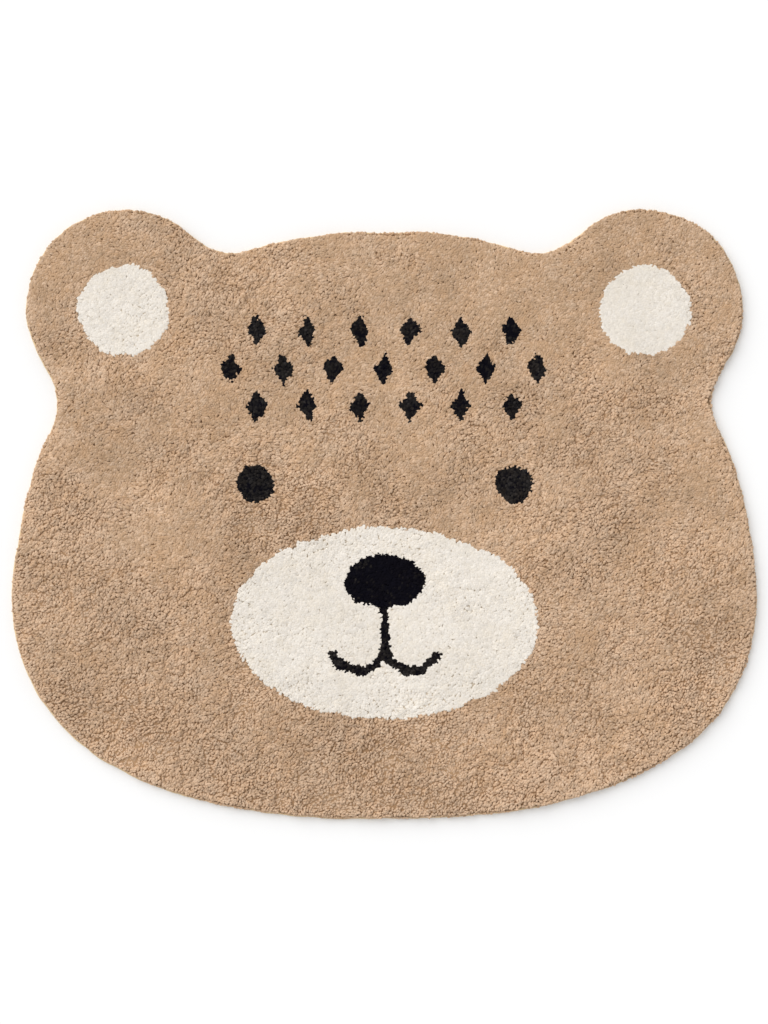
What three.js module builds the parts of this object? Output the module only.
import * as THREE from 'three';

// A kids rug in the shape of a plain animal head with two round ears.
// Tufted cut pile stands on a canvas backing, whose turned edge runs round the rug as a low lip.
// Millimetres, +Z up, +X across the head and +Y towards the ears.
// The origin is on the floor, under the middle of the rug.

const rugWidth = 1100;
const rugLength = 900;
const stepsRound = 180;

// The head is an egg-shaped superellipse, a little wider below its middle.
const headHalfWidth = 540;
const headHalfHeight = 433;
const headCentreY = -17;
const headRoundness = 2.35;
const headTaper = 0.16;

// The ears are circles that run into the head with a soft fillet.
const earRadius = 146;
const earCentreX = 385;
const earCentreY = 303;
const earFillet = 60;

// Heights above the floor.
const clothThickness = 2.4;
const lipHeight = 5;
const pileGap = 0.3;
const pileTop = 15;

// The turned edge of the backing, and how far the pile's foot stands in from it.
const lipWidth = 3.2;
const lipRound = 1.1;
const pileFoot = lipWidth + pileGap + 0.1;

// The pile is widest a little above the lip, and rounds off from there to its top.
const widestInset = 1;
const widestHeight = 8;
const rimWidth = 13;
const rimSteps = 4;
const innerShares = [0.86, 0.7, 0.54, 0.38, 0.2];

// The top of the pile rises and falls a little, as tufts do that were clipped by hand.
const unevenHeight = 0.7;
const unevenLength = 230;

const yarnColour = 0xbd9c79;
const canvasColour = 0xcbbd98;

// How far outside the head a point lies: nil on the edge and less than nil inside.
function headDistance(x, y) {
  const v = (y - headCentreY) / headHalfHeight;
  const u = x / (headHalfWidth * (1 - headTaper * v));
  const size = Math.abs(u) ** headRoundness + Math.abs(v) ** headRoundness;
  return (size ** (1 / headRoundness) - 1) * headHalfHeight;
}

// The same for the nearer ear, which is mirrored about the middle of the rug.
function earDistance(x, y) {
  return Math.hypot(Math.abs(x) - earCentreX, y - earCentreY) - earRadius;
}

// Head and ears as one form.
function rugDistance(x, y) {
  const head = headDistance(x, y);
  const ear = earDistance(x, y);
  const blend = Math.max(1 - Math.abs(head - ear) / earFillet, 0);
  return Math.min(head, ear) - (blend * blend * earFillet) / 4;
}

// The edge of the rug in one direction, turning to the left from the middle of the lower edge.
function edgeAt(turn) {
  const across = Math.sin(turn);
  const up = -Math.cos(turn);
  let inside = 0;
  let outside = rugWidth;
  while (outside - inside > 0.001) {
    const middle = (inside + outside) / 2;
    if (rugDistance(across * middle, up * middle) < 0) {
      inside = middle;
    } else {
      outside = middle;
    }
  }
  return new THREE.Vector2(across * inside, up * inside);
}

// The edge as evenly spaced points, stretched to the rug's own width and length.
function edgePoints() {
  const finer = 12;
  const path = new THREE.Path();
  path.moveTo(edgeAt(0).x, edgeAt(0).y);
  for (let i = 1; i < stepsRound * finer; i += 1) {
    const point = edgeAt((2 * Math.PI * i) / (stepsRound * finer));
    path.lineTo(point.x, point.y);
  }
  path.closePath();
  const points = path.getSpacedPoints(stepsRound).slice(0, stepsRound);
  const box = new THREE.Box2().setFromPoints(points);
  const size = box.getSize(new THREE.Vector2());
  const middle = box.getCenter(new THREE.Vector2());
  const stretch = new THREE.Vector2(rugWidth / size.x, rugLength / size.y);
  return points.map((point) => point.clone().sub(middle).multiply(stretch));
}

// The direction straight out of the edge at each of its points.
function outwardAt(points, i) {
  const before = points[(i + stepsRound - 1) % stepsRound];
  const after = points[(i + 1) % stepsRound];
  const along = after.clone().sub(before).normalize();
  return new THREE.Vector2(along.y, -along.x);
}

const edge = edgePoints();
const outward = edge.map((point, i) => outwardAt(edge, i));

// A row of a section: share is how far out from the middle it lies, inset how far in from the edge.
function row(share, inset, height) {
  return { share, inset, height };
}

// Turns a section into one closed body that follows the edge all the way round.
// The lathe gives the faces, and each of its rings is then drawn out from a circle to the edge.
function roundTheEdge(section, heightOver) {
  const profile = section.map((each) => new THREE.Vector2(each.share, each.height));
  const geometry = new THREE.LatheGeometry(profile, stepsRound);
  const position = geometry.getAttribute('position');
  for (let i = 0; i < position.count; i += 1) {
    const { share, inset, height } = section[i % section.length];
    const step = Math.floor(i / section.length) % stepsRound;
    const x = share * (edge[step].x - outward[step].x * inset);
    const y = share * (edge[step].y - outward[step].y * inset);
    position.setXYZ(i, x, y, height + heightOver(x, y, height));
  }
  geometry.computeVertexNormals();
  return geometry;
}

// Canvas: a flat cloth with its edge turned up and folded in on itself.
function backingGeometry() {
  const section = [
    row(0, lipRound, 0),
    row(1, lipRound, 0),
    row(1, 0, lipRound),
    row(1, 0, lipHeight - lipRound),
    row(1, lipRound, lipHeight),
    row(1, lipWidth - lipRound, lipHeight),
    row(1, lipWidth, lipHeight - lipRound),
    row(1, lipWidth, clothThickness),
    row(0, lipWidth, clothThickness),
  ];
  return roundTheEdge(section, () => 0);
}

// The rise and fall of the clipped pile, which is nil at the foot of the tufts.
function clippedBy(x, y, height) {
  const share = (height - lipHeight) / (pileTop - lipHeight);
  const turn = (2 * Math.PI) / unevenLength;
  const wave = Math.sin(turn * (x + 0.4 * y)) + Math.sin(turn * (0.8 * y - 0.5 * x) + 1);
  return wave * unevenHeight * Math.max(share, 0);
}

// A quarter of an ellipse, from the widest line of the pile up to its top.
function rimRow(_, i) {
  const turn = (Math.PI / 2) * (i / rimSteps);
  const inset = widestInset + rimWidth * (1 - Math.cos(turn));
  return row(1, inset, widestHeight + (pileTop - widestHeight) * Math.sin(turn));
}

// Pile: a thick field of cut tufts that spills a little over the lip and rounds off above it.
function pileGeometry() {
  const foot = clothThickness + pileGap;
  const section = [
    row(0, pileFoot, foot),
    row(1, pileFoot, foot),
    row(1, pileFoot, lipHeight + 2 * pileGap),
    ...Array.from({ length: rimSteps + 1 }, rimRow),
    ...innerShares.map((share) => row(share, widestInset + rimWidth, pileTop)),
    row(0, widestInset + rimWidth, pileTop),
  ];
  return roundTheEdge(section, clippedBy);
}

function piece(name, geometry, colour, roughness) {
  const material = new THREE.MeshStandardMaterial({ color: colour, roughness, metalness: 0 });
  const mesh = new THREE.Mesh(geometry, material);
  mesh.name = name;
  return mesh;
}

const rug = new THREE.Group();
rug.add(piece('pile', pileGeometry(), yarnColour, 0.95));
rug.add(piece('backing', backingGeometry(), canvasColour, 0.9));

export default rug;
